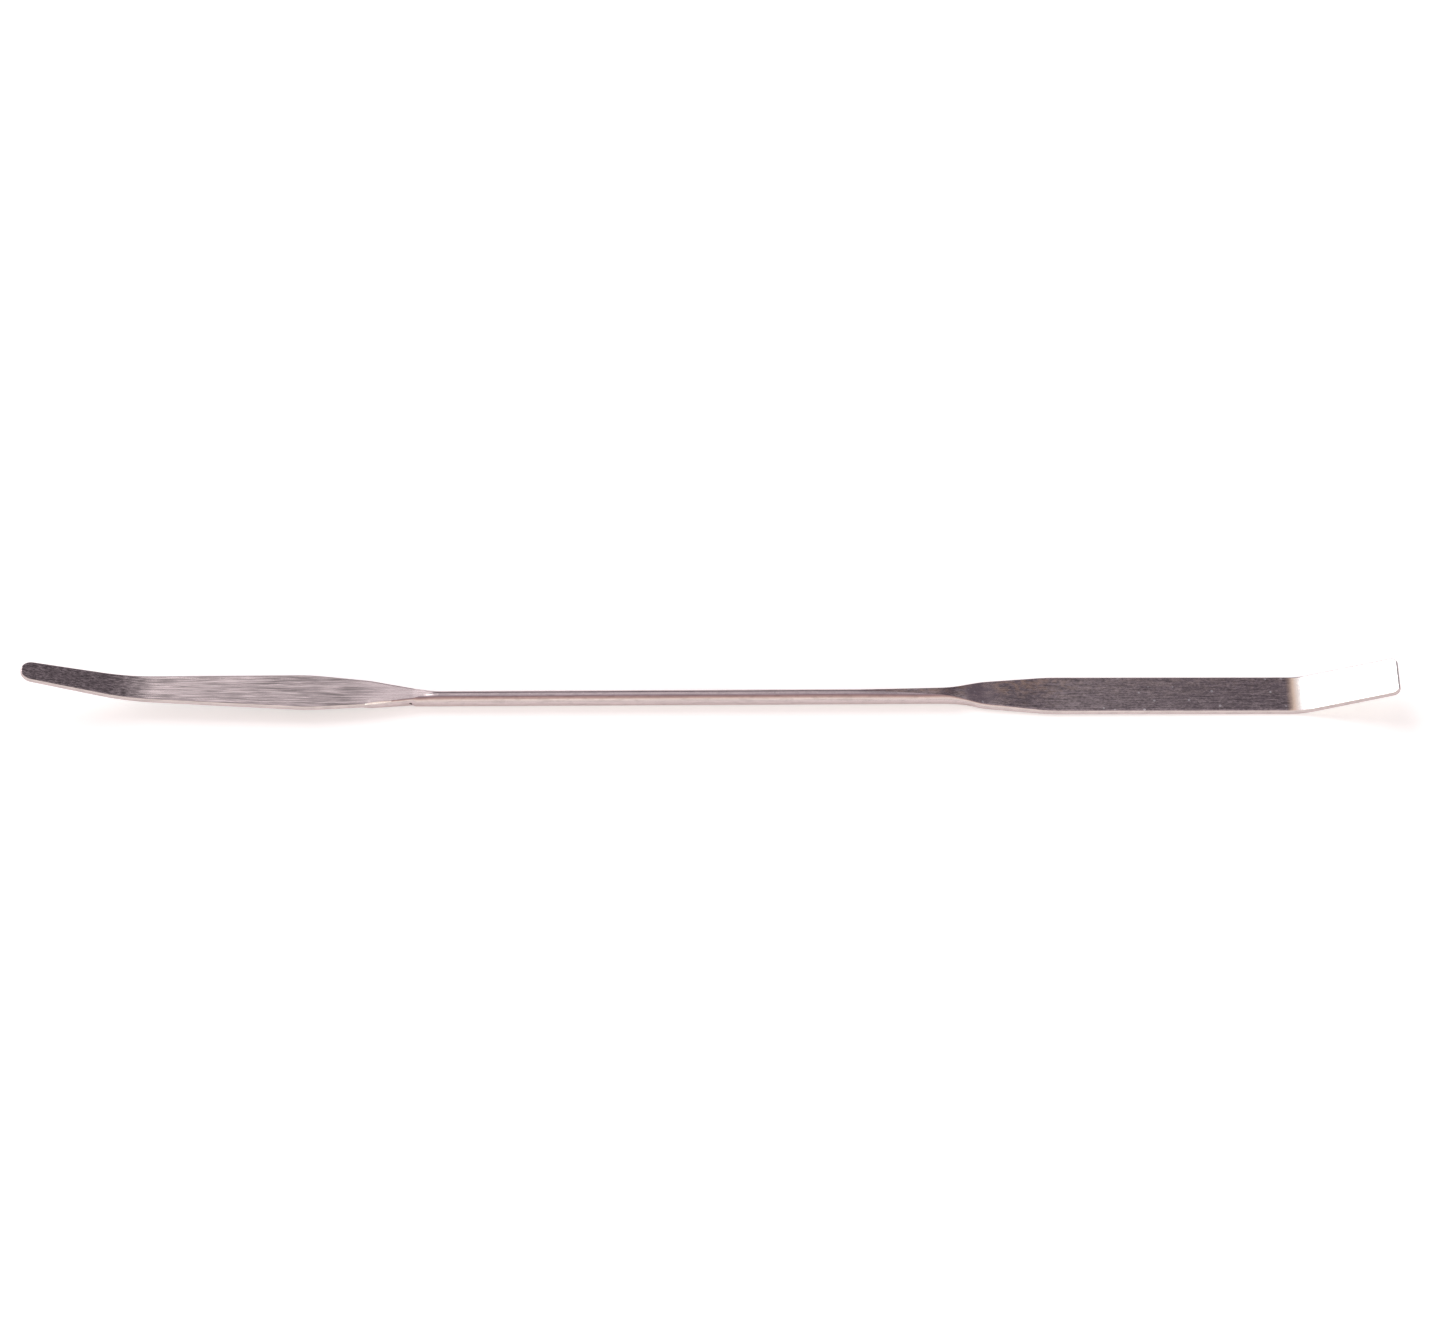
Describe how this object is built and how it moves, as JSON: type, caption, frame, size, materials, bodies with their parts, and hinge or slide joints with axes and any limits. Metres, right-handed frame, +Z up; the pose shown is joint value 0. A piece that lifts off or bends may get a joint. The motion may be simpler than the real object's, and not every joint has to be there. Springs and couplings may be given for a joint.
{
  "type": "lab spatula",
  "caption": "Slim double-ended lab spatula of stainless wire, forged flat at both ends: a parallel square blade and a tapering round one, both turned up at the tip.",
  "frame": {"origin": "half-way along the spatula, in the middle of the square blade's width, on the surface that it lies on", "axes": "+X along the spatula from the round-ended blade to the square-ended one, +Y across it, +Z up, the way both tips turn"},
  "size_m": [0.178, 0.0056, 0.0069],
  "materials": {
    "ground_steel": "blades ground lengthwise, shank polished"
  },
  "bodies": {
    "root": {"spatula": "ground_steel"}
  },
  "joints": []
}
